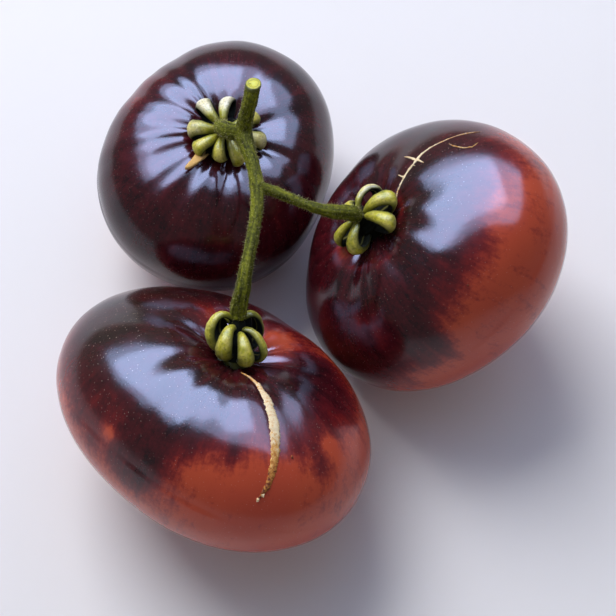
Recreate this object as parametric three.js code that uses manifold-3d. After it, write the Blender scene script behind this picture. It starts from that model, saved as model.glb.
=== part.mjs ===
// A truss of three indigo apple tomatoes, picked and laid on a flat surface.
//
// Three ribbed fruits rest on small flat spots. Each carries a green calyx of thick,
// curled sepals, and one forked truss stem with a cut top end joins the three calyces.
// Millimetres, +Z up. The origin is under the middle of the truss, on the surface it
// rests on, and +Y points away from whoever faces the front fruit.

import * as THREE from "three";
import { mergeVertices } from "three/addons/utils/BufferGeometryUtils.js";
import Module from "manifold-3d";

const wasm = await Module();
wasm.setup();

const DEGREE = Math.PI / 180;
const UP = new THREE.Vector3(0, 0, 1);

// Pieces that meet stay this far apart.
const GAP = 0.3;
// A fruit's lowest point is flattened by this much where it rests.
const REST_DEPTH = 0.7;

// Shape of the skin that all three fruits share.
const PROFILE_POWER = 0.9; // under 1 makes a boxy, heavy-shouldered side
const HOLLOW_WIDTH = 12; // radius at which the hollow round the stem fades out
const CREASE_START = 3; // distance from the stem where creases begin
const CREASE_FADE = 26; // distance from the stem where creases have mostly gone
const SKIN_RINGS = 20;
const SKIN_SEGMENTS = 56;

// radius, crown and base are the fruit's half-width and its half-heights above and
// below the widest ring. tilt and heading lean its stem end. offset, oval and third
// are [share of the radius, direction in degrees] and make the plan unround. A crease
// is [direction in degrees, depth, half-width in degrees].
const FRUITS = [
  {
    name: "back",
    color: 0x2b0f1c,
    spot: [-26.74, 38.32],
    radius: 35.2,
    crown: 25.7,
    base: 25.5,
    hollow: 5.1,
    tilt: 13.1,
    heading: -39,
    offset: [0.011, -121],
    oval: [0.088, 63],
    third: [0.019, 63],
    creases: [
      [118, 1.9, 9],
      [150, 1.4, 8],
      [176, 1.2, 8],
      [205, 1.5, 9],
      [238, 1.2, 8],
      [268, 1.3, 8],
      [300, 1.1, 9],
      [338, 1.5, 9],
      [20, 1.0, 10],
      [68, 1.2, 10],
    ],
  },
  {
    name: "right",
    color: 0x5e1b1d,
    spot: [31.58, 4.91],
    radius: 36.7,
    crown: 27.1,
    base: 27.2,
    hollow: 4.8,
    tilt: 45.6,
    heading: 177.5,
    offset: [0.019, -23],
    oval: [0.067, 27],
    third: [0.021, -20],
    creases: [
      [6, 1.0, 11],
      [62, 0.8, 12],
      [118, 1.0, 11],
      [182, 0.9, 12],
      [245, 1.0, 11],
      [300, 1.0, 12],
      [334, 0.7, 10],
    ],
  },
  {
    name: "front",
    color: 0x702420,
    spot: [-25.2, -39.09],
    radius: 38.3,
    crown: 24.7,
    base: 25.1,
    hollow: 5.8,
    tilt: 35.1,
    heading: 57.5,
    offset: [0.028, 83],
    oval: [0.137, -37],
    third: [0.012, 32],
    creases: [
      [205, 1.2, 10],
      [232, 1.0, 9],
      [262, 1.0, 9],
      [300, 1.1, 10],
      [352, 1.1, 11],
      [50, 1.0, 12],
      [110, 1.2, 10],
      [160, 1.2, 10],
    ],
  },
];

// A calyx grows from a fruit's stem scar: a neck, leaning along lean, that ends under
// the pedicel at height, and sepals that run out over the skin, rise and curl back
// towards the neck. A sepal is [direction of its root, turn of its tip against that
// root (both in degrees), reach, height of its arch, width]. The back calyx has one
// more, spread out on the skin through [distance, height] points, with a dried tip.
const CALYCES = {
  back: {
    height: 8,
    lean: [-0.1, -0.39, 0.9],
    sepals: [
      [133, -6, 9.9, 8.2, 4.4],
      [91, -4, 9.0, 8.4, 4.2],
      [179, 5, 9.2, 7.6, 5.0],
      [218, 4, 9.6, 6.8, 4.6],
      [261, -4, 8.2, 6.6, 4.2],
      [296, 4, 9.4, 6.6, 4.2],
      [348, 0, 10.6, 7.6, 4.6],
      [34, -8, 9.6, 7.4, 3.8],
    ],
    spread: {
      turn: 230,
      width: 3.4,
      line: [
        [1.0, 1.7],
        [5.0, 2.2],
        [8.8, 3.2],
        [11.8, 3.9],
        [15.4, 4.9],
      ],
    },
  },
  right: {
    height: 7.2,
    lean: [-0.6, -0.1, 0.79],
    sepals: [
      [44, 46, 8.6, 8.0, 3.6],
      [10, 6, 10.2, 7.6, 5.0],
      [328, 14, 10.4, 7.2, 5.0],
      [249, 8, 8.6, 7.8, 4.6],
      [198, -6, 9.4, 7.0, 4.4],
      [128, -4, 7.6, 7.4, 3.8],
    ],
  },
  front: {
    height: 10.7,
    lean: [0.08, 0.68, 0.73],
    sepals: [
      [203, -18, 7.2, 11.4, 4.2],
      [236, 4, 7.0, 9.6, 4.8],
      [289, -4, 7.4, 8.4, 4.6],
      [342, -26, 7.7, 9.6, 4.2],
      [30, 4, 6.8, 11.4, 4.4],
      [80, 0, 7.2, 11.2, 3.8],
      [136, 0, 6.6, 9.2, 3.8],
    ],
  },
};
const NECK_RADIUS = 1.75;
const NECK_SIDES = 16;
const FOOT_RADIUS = 2.7;
const FOOT_DEPTH = 1; // how far the foot starts below the scar, before it is cut clear
const SEPAL_THICKNESS = 1.5;
const SEPAL_SIDES = 8;
const SEPAL_STEPS = 9;
// A sepal's middle line, root to tip, as [share of its reach, share of its rise], where
// the rise is counted from SEPAL_LOW over the scar to the height of the arch.
const SEPAL_LOW = 1.9;
const SEPAL_LINE = [
  [0.12, -0.03],
  [0.5, 0.03],
  [0.84, 0.17],
  [1.0, 0.44],
  [0.95, 0.72],
  [0.74, 0.93],
  [0.52, 1.0],
  [0.37, 0.92],
];

// The truss stem. Each limb is a list of [x, y, z, radius].
const STEM_SIDES = 12;
const STEM_STEP = 2.6; // distance between rings along a limb
const KNEE = [-17.8, 25.6, 61.4];
const FORK = [-14.0, 9.3, 61.0];
const FORK_RADIUS = 2.0;
const MAIN_STEM = [
  [-14.8, 33.6, 73.3, 1.95],
  [-15.9, 29.8, 69.0, 1.9],
  [-17.0, 27.9, 65.4, 1.95],
  [...KNEE, 2.3],
  [-16.6, 20.7, 60.6, 1.95],
  [-14.9, 14.8, 60.6, 1.75],
  [...FORK, 1.9],
];
const FRONT_LIMB = [
  [...FORK, 1.9],
  [-14.0, 3.1, 61.2, 1.65],
  [-15.0, -5.7, 61.4, 1.6],
  [-16.3, -13.3, 60.4, 1.6],
  [-17.2, -17.9, 58.2, 1.7],
];
const RIGHT_LIMB = [
  [...FORK, 1.8],
  [-10.4, 8.7, 60.6, 1.45],
  [-5.8, 6.7, 60.4, 1.3],
  [-0.9, 4.8, 59.8, 1.3],
  [3.6, 3.9, 58.9, 1.45],
];
const BACK_LIMB = [
  [...KNEE, 2.2],
  [-20.6, 26.6, 60.0, 2.2],
  [-22.7, 28.5, 58.4, 2.25],
];
// The main stem's top is cut off slantwise, through this point and square to this
// direction.
const CUT_PLACE = [-15.0, 32.6, 72.2];
const CUT_DIRECTION = [0.07, 0.22, 0.97];
// A pedicel swells into a knuckle where it meets its calyx.
const KNUCKLE_RADIUS = 2.1;
const KNUCKLE_START = { over: 2.6, radius: 1.95 };
const KNUCKLE_FULL = 1.1;

const fruitSkin = (color) =>
  new THREE.MeshStandardMaterial({ color, roughness: 0.18, metalness: 0 });
const SEPAL_GREEN = new THREE.MeshStandardMaterial({
  color: 0x8c9a2e,
  roughness: 0.6,
  metalness: 0,
});
const STEM_GREEN = new THREE.MeshStandardMaterial({
  color: 0x6f8030,
  roughness: 0.65,
  metalness: 0,
});

// Leans a piece so that its own +Z points along the given direction.
function lean(direction) {
  const to = new THREE.Vector3(...direction).normalize();
  return new THREE.Quaternion().setFromUnitVectors(UP, to);
}

// The unit vector of a stem end that leans by tilt towards heading.
function stemAxis({ tilt, heading }) {
  const side = Math.sin(tilt * DEGREE);
  return [
    side * Math.cos(heading * DEGREE),
    side * Math.sin(heading * DEGREE),
    Math.cos(tilt * DEGREE),
  ];
}

// The smallest turn from one direction to another, in degrees.
function turnBetween(a, b) {
  return ((((a - b) % 360) + 540) % 360) - 180;
}

// How deep the creases are at a place on the skin, out from the stem by distance.
function creaseDepth(fruit, around, distance) {
  const starts = 1 - Math.exp(-((distance / CREASE_START) ** 2));
  const fades = Math.exp(-((distance / CREASE_FADE) ** 2));
  let depth = 0;
  for (const [direction, deep, halfWidth] of fruit.creases) {
    const off = turnBetween(around / DEGREE, direction) / halfWidth;
    depth += deep * Math.exp(-off * off);
  }
  return depth * starts * fades;
}

// A point of a fruit's skin in its own frame, with the stem end at +Z and the origin
// at the middle of its widest ring. down runs from 0 at the stem to PI at the far end.
function skinPoint(fruit, down, around, proud = 0) {
  const side = Math.sin(down);
  const height = Math.cos(down);
  const wave = (times, [share, direction]) =>
    share * Math.cos(times * (around - direction * DEGREE));
  const unround = wave(1, fruit.offset) + wave(2, fruit.oval) + wave(3, fruit.third);
  const plan = 1 + side * unround;
  const distance = fruit.radius * side ** PROFILE_POWER * plan;
  const half = height > 0 ? fruit.crown : fruit.base;
  let z = half * Math.sign(height) * Math.abs(height) ** PROFILE_POWER;
  const upper = height > 0 ? 1 : 0;
  z -= upper * fruit.hollow * Math.exp(-((distance / HOLLOW_WIDTH) ** 2));
  const point = new THREE.Vector3(
    distance * Math.cos(around),
    distance * Math.sin(around),
    z,
  );
  const cut = upper * creaseDepth(fruit, around, distance);
  return point.setLength(point.length() - cut + proud);
}

// Height of the stem scar over the middle of the widest ring.
const scarHeight = (fruit) => skinPoint(fruit, 0, 0).z;

// A geometry's vertices, moved one by one.
function reshape(geometry, move) {
  const place = geometry.getAttribute("position");
  const point = new THREE.Vector3();
  for (let i = 0; i < place.count; i++) {
    point.fromBufferAttribute(place, i);
    const moved = move(point.clone());
    place.setXYZ(i, moved.x, moved.y, moved.z);
  }
  return geometry;
}

function toSolid(geometry) {
  const bare = geometry.clone();
  bare.deleteAttribute("normal");
  bare.deleteAttribute("uv");
  const merged = mergeVertices(bare, 1e-4);
  return new wasm.Manifold(
    new wasm.Mesh({
      numProp: 3,
      vertProperties: new Float32Array(merged.attributes.position.array),
      triVerts: new Uint32Array(merged.index.array),
    }),
  );
}

function toGeometry(solid) {
  const { vertProperties, triVerts, numProp, numVert } = solid.getMesh();
  const points = new Float32Array(numVert * 3);
  for (let i = 0; i < numVert; i++) {
    points.set(vertProperties.subarray(i * numProp, i * numProp + 3), i * 3);
  }
  const geometry = new THREE.BufferGeometry();
  geometry.setAttribute("position", new THREE.BufferAttribute(points, 3));
  geometry.setIndex(new THREE.BufferAttribute(new Uint32Array(triVerts), 1));
  geometry.computeVertexNormals();
  return geometry;
}

// The closed skin of a fruit: a lathed ball whose every vertex is set on the skin.
function skinGeometry(fruit, proud = 0) {
  const profile = [];
  for (let ring = 0; ring <= SKIN_RINGS; ring++) {
    const down = Math.PI * (1 - ring / SKIN_RINGS);
    const onAxis = ring === 0 || ring === SKIN_RINGS;
    profile.push(new THREE.Vector2(onAxis ? 0 : Math.sin(down), Math.cos(down)));
  }
  const ball = new THREE.LatheGeometry(profile, SKIN_SEGMENTS);
  ball.rotateX(Math.PI / 2);
  return reshape(ball, (p) => {
    const down = Math.atan2(Math.hypot(p.x, p.y), p.z);
    return skinPoint(fruit, down, Math.atan2(p.y, p.x), proud);
  });
}

// Height of the middle of a leaning fruit over the surface that it rests on.
function restHeight(fruit) {
  const leaning = skinGeometry(fruit).applyQuaternion(lean(stemAxis(fruit)));
  leaning.computeBoundingBox();
  return -leaning.boundingBox.min.z - REST_DEPTH;
}

// A flat-bottomed block that stands on the surface and is larger than any fruit.
function blockOverSurface() {
  const size = 200;
  const block = new THREE.BoxGeometry(size, size, size);
  block.translate(0, 0, size / 2);
  return toSolid(block);
}

// One fruit, in a frame whose origin is on the surface under the fruit's middle.
function makeFruit(fruit) {
  const leaning = skinGeometry(fruit).applyQuaternion(lean(stemAxis(fruit)));
  leaning.translate(0, 0, restHeight(fruit));
  const resting = toSolid(leaning).intersect(blockOverSurface());
  const mesh = new THREE.Mesh(toGeometry(resting), fruitSkin(fruit.color));
  mesh.name = `tomato_${fruit.name}`;
  mesh.position.set(...fruit.spot, 0);
  return mesh;
}

// Where a fruit's stem scar lies in the part's frame.
function scarPlace(fruit) {
  const scar = new THREE.Vector3(0, 0, scarHeight(fruit));
  scar.applyQuaternion(lean(stemAxis(fruit)));
  return scar.add(new THREE.Vector3(...fruit.spot, restHeight(fruit)));
}

// A closed cylinder bent along a curve. frameAt gives, at a step, the two directions
// across the curve, and halfSizes the half-sizes along them at a share of the length.
function bentSolid(curve, steps, sides, frameAt, halfSizes) {
  const straight = new THREE.CylinderGeometry(1, 1, steps, sides, steps);
  straight.rotateX(Math.PI / 2);
  straight.translate(0, 0, steps / 2);
  const bent = reshape(straight, (p) => {
    const step = Math.min(steps, Math.max(0, Math.round(p.z)));
    const [across, over] = frameAt(step);
    const [wide, high] = halfSizes(step / steps);
    return curve
      .getPointAt(step / steps)
      .addScaledVector(across, p.x * wide)
      .addScaledVector(over, p.y * high);
  });
  const solid = toSolid(bent);
  if (solid.volume() > 0) {
    return solid;
  }
  bent.setIndex([...bent.index.array].reverse());
  return toSolid(bent);
}

// A sepal's half-width: full over the skin, narrower up the curl, with a blunt tip.
function sepalHalfWidth(width, share) {
  const root = 0.55 + 0.45 * Math.min(1, share / 0.3);
  const curl = 1 - 0.5 * Math.max(0, (share - 0.42) / 0.58);
  const tip = Math.sqrt(Math.min(1, (1.03 - share) / 0.14));
  return (width / 2) * root * curl * tip;
}

// A sepal through [distance, height] points, in a frame at the scar. side turns a
// direction round the stem end into a vector along the skin, and along is the lean.
function sepalSolid(base, line, turnAt, width) {
  const places = line.map(([distance, height], i) =>
    base
      .side(turnAt(i / (line.length - 1)))
      .multiplyScalar(distance)
      .addScaledVector(base.along, height),
  );
  const curve = new THREE.CatmullRomCurve3(places, false, "centripetal");
  const frameAt = (step) => {
    const share = step / SEPAL_STEPS;
    const outward = base.side(turnAt(share));
    const across = new THREE.Vector3().crossVectors(base.along, outward).normalize();
    const over = curve.getTangentAt(share).cross(across).normalize();
    return [across, over];
  };
  const half = SEPAL_THICKNESS / 2;
  return bentSolid(curve, SEPAL_STEPS, SEPAL_SIDES, frameAt, (share) => [
    sepalHalfWidth(width, share),
    half * (1.1 - 0.3 * share),
  ]);
}

// A sepal that runs out over the skin, rises and curls back to the neck.
function curledSepal(base, [turn, sweep, reach, top, width]) {
  const rise = top - SEPAL_LOW;
  const line = SEPAL_LINE.map(([out, up]) => [out * reach, SEPAL_LOW + up * rise]);
  return sepalSolid(base, line, (share) => turn + sweep * share, width);
}

// The neck under a pedicel: a broad foot on the scar and a leaning stalk.
function neckSolid(height, along) {
  const outline = [
    [0, -FOOT_DEPTH],
    [FOOT_RADIUS, -FOOT_DEPTH],
    [FOOT_RADIUS, GAP],
    [NECK_RADIUS, height * 0.4],
    [NECK_RADIUS, height],
    [0, height],
  ];
  const neck = new THREE.LatheGeometry(
    outline.map(([distance, z]) => new THREE.Vector2(distance, z)),
    NECK_SIDES,
  );
  neck.rotateX(Math.PI / 2);
  neck.applyQuaternion(lean(along.toArray()));
  return toSolid(neck);
}

// The directions that a calyx is built on, at the scar of its fruit.
function calyxBase(fruit) {
  const level = lean(stemAxis(fruit));
  return {
    along: new THREE.Vector3(...CALYCES[fruit.name].lean).normalize(),
    side: (turn) =>
      new THREE.Vector3(Math.cos(turn * DEGREE), Math.sin(turn * DEGREE), 0)
        .applyQuaternion(level),
  };
}

// One calyx, cut clear of the skin it sits on, in a frame at the stem scar.
function makeCalyx(fruit) {
  const calyx = CALYCES[fruit.name];
  const base = calyxBase(fruit);
  let solid = neckSolid(calyx.height, base.along);
  for (const sepal of calyx.sepals) {
    solid = solid.add(curledSepal(base, sepal));
  }
  if (calyx.spread) {
    const { line, turn, width } = calyx.spread;
    solid = solid.add(sepalSolid(base, line, () => turn, width));
  }
  const clear = skinGeometry(fruit, GAP);
  clear.translate(0, 0, -scarHeight(fruit));
  clear.applyQuaternion(lean(stemAxis(fruit)));
  solid = largestBody(solid.subtract(toSolid(clear)));
  const mesh = new THREE.Mesh(toGeometry(solid), SEPAL_GREEN);
  mesh.name = `calyx_${fruit.name}`;
  mesh.position.copy(scarPlace(fruit));
  return mesh;
}

// The biggest of a solid's separate bodies, without any scraps that a cut left.
function largestBody(solid) {
  const bodies = solid.decompose();
  bodies.sort((a, b) => b.volume() - a.volume());
  return bodies[0];
}

// A round limb through [x, y, z, radius] points.
function limbSolid(points) {
  const places = points.map(([x, y, z]) => new THREE.Vector3(x, y, z));
  const curve = new THREE.CatmullRomCurve3(places, false, "centripetal");
  const steps = Math.max(4, Math.round(curve.getLength() / STEM_STEP));
  const frames = curve.computeFrenetFrames(steps, false);
  const frameAt = (step) => [frames.binormals[step], frames.normals[step]];
  const radiusAt = (share) => {
    const along = curve.getUtoTmapping(share) * (points.length - 1);
    const before = Math.min(points.length - 2, Math.floor(along));
    const between = along - before;
    const eased = between * between * (3 - 2 * between);
    return THREE.MathUtils.lerp(points[before][3], points[before + 1][3], eased);
  };
  return bentSolid(curve, steps, STEM_SIDES, frameAt, (share) => {
    const radius = radiusAt(share);
    return [radius, radius];
  });
}

// A pedicel: a limb that ends in a knuckle, square on the neck of its calyx.
function pedicelSolid(fruit, limb) {
  const { along } = calyxBase(fruit);
  const { height } = CALYCES[fruit.name];
  const scar = scarPlace(fruit);
  const onNeck = (over, radius) => {
    const place = scar.clone().addScaledVector(along, height + over);
    return [...place.toArray(), radius];
  };
  return limbSolid([
    ...limb,
    onNeck(KNUCKLE_START.over, KNUCKLE_START.radius),
    onNeck(KNUCKLE_FULL, KNUCKLE_RADIUS),
    onNeck(GAP, KNUCKLE_RADIUS),
  ]);
}

// The main stem below its slanting cut.
function mainStemSolid() {
  const square = new THREE.Vector3(...CUT_DIRECTION).normalize().negate();
  const offset = square.dot(new THREE.Vector3(...CUT_PLACE));
  return limbSolid(MAIN_STEM).trimByPlane(square.toArray(), offset);
}

function makeStem() {
  const [back, right, front] = FRUITS;
  const ball = new THREE.SphereGeometry(FORK_RADIUS, STEM_SIDES, 8);
  ball.translate(...FORK);
  const solid = mainStemSolid()
    .add(toSolid(ball))
    .add(pedicelSolid(back, BACK_LIMB))
    .add(pedicelSolid(right, RIGHT_LIMB))
    .add(pedicelSolid(front, FRONT_LIMB));
  const mesh = new THREE.Mesh(toGeometry(solid), STEM_GREEN);
  mesh.name = "truss_stem";
  return mesh;
}

const truss = new THREE.Group();
truss.name = "indigo_apple_tomato_truss";
for (const fruit of FRUITS) {
  truss.add(makeFruit(fruit), makeCalyx(fruit));
}
truss.add(makeStem());

export default truss;
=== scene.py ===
import math
import random

import bmesh
import bpy
from bpy.props import (
    FloatProperty,
    FloatVectorProperty,
    IntProperty,
    PointerProperty,
)
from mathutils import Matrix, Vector, noise
from mathutils.bvhtree import BVHTree
from mathutils.kdtree import KDTree


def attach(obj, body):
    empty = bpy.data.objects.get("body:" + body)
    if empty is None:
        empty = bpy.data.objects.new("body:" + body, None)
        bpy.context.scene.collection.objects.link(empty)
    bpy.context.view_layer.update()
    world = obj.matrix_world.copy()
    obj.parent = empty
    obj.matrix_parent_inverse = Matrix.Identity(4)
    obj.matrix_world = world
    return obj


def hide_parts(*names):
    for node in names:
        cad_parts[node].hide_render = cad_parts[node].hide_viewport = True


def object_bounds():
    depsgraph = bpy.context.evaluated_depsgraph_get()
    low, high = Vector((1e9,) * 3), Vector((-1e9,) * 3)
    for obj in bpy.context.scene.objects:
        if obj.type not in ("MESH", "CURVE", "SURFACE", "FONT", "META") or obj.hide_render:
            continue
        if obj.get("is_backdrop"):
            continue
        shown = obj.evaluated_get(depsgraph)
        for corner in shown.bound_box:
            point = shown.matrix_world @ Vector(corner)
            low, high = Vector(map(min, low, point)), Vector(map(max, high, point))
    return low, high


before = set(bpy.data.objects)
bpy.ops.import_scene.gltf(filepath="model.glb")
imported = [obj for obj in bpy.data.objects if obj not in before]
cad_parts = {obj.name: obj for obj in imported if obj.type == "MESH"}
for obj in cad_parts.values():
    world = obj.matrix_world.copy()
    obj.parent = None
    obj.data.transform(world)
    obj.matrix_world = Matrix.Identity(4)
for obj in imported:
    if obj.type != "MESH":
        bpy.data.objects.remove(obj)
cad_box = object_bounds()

bl_info = {
    "name": "Indigo Tomato Truss",
    "version": (1, 0, 0),
    "blender": (4, 5, 0),
    "location": "3D View > Sidebar > Tomato Truss",
    "description": "Three indigo apple tomatoes on one forked stem, with calyces and scars",
    "category": "Object",
}

# Lengths are in millimetres until a mesh is finished, when it is scaled to metres.
MM = 0.001
BODY = "root"
UP = Vector((0.0, 0.0, 1.0))

# Shape of the skin that all three fruits share, as in the part's source.
REST_DEPTH = 0.7
PROFILE_POWER = 0.9
HOLLOW_WIDTH = 12.0
CREASE_START = 3.0
CREASE_FADE = 26.0
SKIN_SEGMENTS = 216
SKIN_RINGS = 150
REST_SOFTNESS = 0.12  # rounds the edge of the small flat that a fruit rests on

# The fruits' sizes, places and creases, as in the part's source. offset, oval and third
# are waves round the fruit as (share of the radius, direction). A crease is (direction,
# depth, half-width in degrees), and a fine one is only in this skin. cap is the lower edge
# of the indigo colour as (direction, angle down from the stem end) in degrees. A patch is
# (direction, angle down, half-width, half-length, amount) and darkens the skin, or
# reddens it where the amount is negative. An olive patch turns the skin greenish.
FRUITS = {
    "back": {
        "spot": (-26.74, 38.32),
        "radius": 35.2,
        "crown": 25.7,
        "base": 25.5,
        "hollow": 5.1,
        "tilt": 13.1,
        "heading": -39.0,
        "offset": (0.011, -121.0),
        "oval": (0.088, 63.0),
        "third": (0.019, 63.0),
        "creases": [
            (118, 1.9, 9), (150, 1.4, 8), (176, 1.2, 8), (205, 1.5, 9), (238, 1.2, 8),
            (268, 1.3, 8), (300, 1.1, 9), (338, 1.5, 9), (20, 1.0, 10), (68, 1.2, 10),
        ],
        "fine_creases": [
            (134, 0.7, 4), (164, 0.5, 5), (192, 0.7, 4), (222, 0.8, 6), (254, 0.4, 5),
            (95, 0.3, 5),
        ],
        "cap": [(-180, 128), (-90, 124), (0, 118), (90, 122), (180, 128)],
        "patches": [
            (150, 58, 16, 14, -0.34), (-5, 62, 26, 16, -0.2), (-70, 60, 30, 20, -0.12),
        ],
        "olive": [],
    },
    "right": {
        "spot": (31.58, 4.91),
        "radius": 36.7,
        "crown": 27.1,
        "base": 27.2,
        "hollow": 4.8,
        "tilt": 45.6,
        "heading": 177.5,
        "offset": (0.019, -23.0),
        "oval": (0.067, 27.0),
        "third": (0.021, -20.0),
        "creases": [
            (6, 1.0, 11), (62, 0.8, 12), (118, 1.0, 11), (182, 0.9, 12), (245, 1.0, 11),
            (300, 1.0, 12), (334, 0.7, 10),
        ],
        "fine_creases": [(-45, 0.3, 5), (-95, 0.3, 5), (35, 0.25, 5)],
        "cap": [
            (-180, 100), (-150, 96), (-125, 88), (-105, 82), (-90, 78), (-75, 76), (-62, 60),
            (-50, 58), (-35, 56), (-20, 54), (-8, 52), (5, 60), (25, 66), (40, 76), (70, 88),
            (110, 98), (150, 104), (180, 100),
        ],
        "patches": [
            (-98, 52, 3, 10, -0.4), (-106, 44, 3, 7, -0.2), (-152, 14, 6, 4, -0.6),
            (-6, 15, 4, 2, -0.5), (16, 14, 4, 2, -0.35), (-108, 18, 9, 1.5, -0.3),
            (-64, 21, 8, 1.5, -0.25), (-78, 78, 9, 10, 0.3), (16, 78, 8, 12, 0.25),
        ],
        "olive": [(45, 42, 30, 26, 0.5), (-5, 30, 26, 14, 0.45)],
    },
    "front": {
        "spot": (-25.2, -39.09),
        "radius": 38.3,
        "crown": 24.7,
        "base": 25.1,
        "hollow": 5.8,
        "tilt": 35.1,
        "heading": 57.5,
        "offset": (0.028, 83.0),
        "oval": (0.137, -37.0),
        "third": (0.012, 32.0),
        "creases": [
            (205, 1.2, 10), (232, 1.0, 9), (262, 1.0, 9), (300, 1.1, 10), (352, 1.1, 11),
            (50, 1.0, 12), (110, 1.2, 10), (160, 1.2, 10),
        ],
        "fine_creases": [(-70, 0.5, 4), (-112, 0.4, 5), (20, 0.3, 5)],
        "cap": [
            (-180, 84), (-165, 90), (-150, 92), (-136, 94), (-125, 90), (-112, 72), (-100, 56),
            (-92, 56), (-80, 46), (-60, 46), (-45, 44), (-30, 44), (-15, 50), (0, 46), (20, 34),
            (45, 40), (80, 52), (120, 66), (150, 74), (180, 84),
        ],
        "patches": [
            (-127, 97, 15, 14, 0.4), (-118, 84, 8, 12, 0.2), (34, 17, 10, 12, -0.9),
            (118, 18, 6, 9, -0.6), (-146, 83, 4, 5, -0.5), (-152, 74, 17, 14, -0.27),
            (-118, 72, 12, 8, -0.12), (-45, 50, 3, 4, -0.5), (-53, 58, 4, 8, 0.35),
            (-91, 54, 2, 9, 0.4),
        ],
        "olive": [(170, 48, 46, 26, 0.9), (-150, 40, 30, 16, 0.5)],
    },
}

# The calyces, as in the part's source, except that three sepals at the back of the front
# calyx are wider here, so that no gap shows between them. A sepal is (direction of its
# root, turn of its tip, reach, height of its arch, width). fullness widens them all, pale
# gives how strongly a painted near-white highlight covers a sepal's top, by its direction,
# and the spread sepal's line is made of (distance from the scar, height) points.
CALYCES = {
    "back": {
        "fullness": 1.12,
        "pale": {133: 0.8, 91: 0.95, 179: 0.35, 296: 0.1, 348: 0.3},
        "height": 8.0,
        "lean": (-0.1, -0.39, 0.9),
        "sepals": [
            (133, -6, 9.9, 8.2, 4.4), (91, -4, 9.0, 8.4, 4.2), (179, 5, 9.2, 7.6, 5.0),
            (218, 4, 9.6, 6.8, 4.6), (261, -4, 8.2, 6.6, 4.2), (296, 4, 9.4, 6.6, 4.2),
            (348, 0, 10.6, 7.6, 4.6), (34, -8, 9.6, 7.4, 3.8),
        ],
        "spread": {
            "turn": 230,
            "width": 3.4,
            "line": [(1.0, 1.7), (5.0, 2.2), (8.8, 3.2), (11.8, 3.9), (15.4, 4.9)],
        },
    },
    "right": {
        "fullness": 1.0,
        "pale": {44: 0.5},
        "height": 7.2,
        "lean": (-0.6, -0.1, 0.79),
        "sepals": [
            (44, 46, 8.6, 8.0, 3.6), (10, 6, 10.2, 7.6, 5.0), (328, 14, 10.4, 7.2, 5.0),
            (249, 8, 8.6, 7.8, 4.6), (198, -6, 9.4, 7.0, 4.4), (128, -4, 7.6, 7.4, 3.8),
        ],
    },
    "front": {
        "fullness": 0.94,
        "pale": {},
        "height": 10.7,
        "lean": (0.08, 0.68, 0.73),
        "sepals": [
            (203, -18, 7.2, 11.4, 4.2), (236, 4, 7.0, 9.6, 4.8), (289, -4, 7.4, 8.4, 4.6),
            (342, -26, 7.7, 9.6, 4.2), (30, 4, 6.8, 11.4, 5.2), (80, 0, 7.2, 11.2, 5.4),
            (136, 0, 6.6, 9.2, 5.2),
        ],
    },
}
SEPAL_LOW = 1.9  # height of a sepal's root over the stem scar
# A sepal's line, as shares of its reach and of its arch's height.
SEPAL_LINE = [
    (0.12, -0.03), (0.5, 0.03), (0.84, 0.17), (1.0, 0.44), (0.95, 0.72), (0.76, 0.93),
    (0.54, 1.0), (0.34, 0.95), (0.19, 0.84),
]
SEPAL_THICKNESS = 1.6
SEPAL_SIDES = 24
SEPAL_STEPS = 40
NECK_SIDES = 32
NECK_STEPS = 28
SKIN_CLEARANCE = 0.08
# The calyx's neck, from its top down to the disc in which the sepals' roots meet. Halfway
# down it swells to FOOT_RADIUS, a dark cone painted with shade that fills the shadowed
# middle of the calyx.
NECK_TOP_RADIUS = 1.6
NECK_RADIUS = 2.0
FOOT_RADIUS = 3.7
BASE_RADIUS = 4.5
NECK_ABOVE = 0.8  # over the calyx's height
NECK_BELOW = 1.0  # under the stem scar

# The truss stem's limbs, as in the part's source: (x, y, z, radius) points.
KNEE = (-17.8, 25.6, 61.4)
FORK = (-14.0, 9.3, 61.0)
MAIN_STEM = [
    (-14.8, 33.6, 73.3, 1.95),
    (-15.9, 29.8, 69.0, 1.9),
    (-17.0, 27.9, 65.4, 1.95),
    (*KNEE, 2.3),
    (-16.6, 20.7, 60.6, 1.95),
    (-14.9, 14.8, 60.6, 1.75),
    (*FORK, 1.9),
]
LIMBS = {
    "front": [
        (*FORK, 1.9),
        (-14.0, 3.1, 61.2, 1.65),
        (-15.0, -5.7, 61.4, 1.6),
        (-16.3, -13.3, 60.4, 1.6),
        (-17.2, -17.9, 58.2, 1.7),
    ],
    "right": [
        (*FORK, 1.8),
        (-10.4, 8.7, 60.6, 1.45),
        (-5.8, 6.7, 60.4, 1.3),
        (-0.9, 4.8, 59.8, 1.3),
        (3.6, 3.9, 58.9, 1.45),
    ],
    "back": [
        (*KNEE, 2.2),
        (-20.6, 26.6, 60.0, 2.2),
        (-22.7, 28.5, 58.4, 2.25),
    ],
}
# The main stem's slanting cut: a point of it, and the direction square to it.
CUT_PLACE = Vector((-15.0, 32.6, 72.2))
CUT_DIRECTION = Vector((0.07, 0.22, 0.97)).normalized()
KNUCKLE_RADIUS = 2.1
KNUCKLE_RINGS = [(2.6, 1.95), (1.1, KNUCKLE_RADIUS), (0.15, 2.0)]

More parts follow.
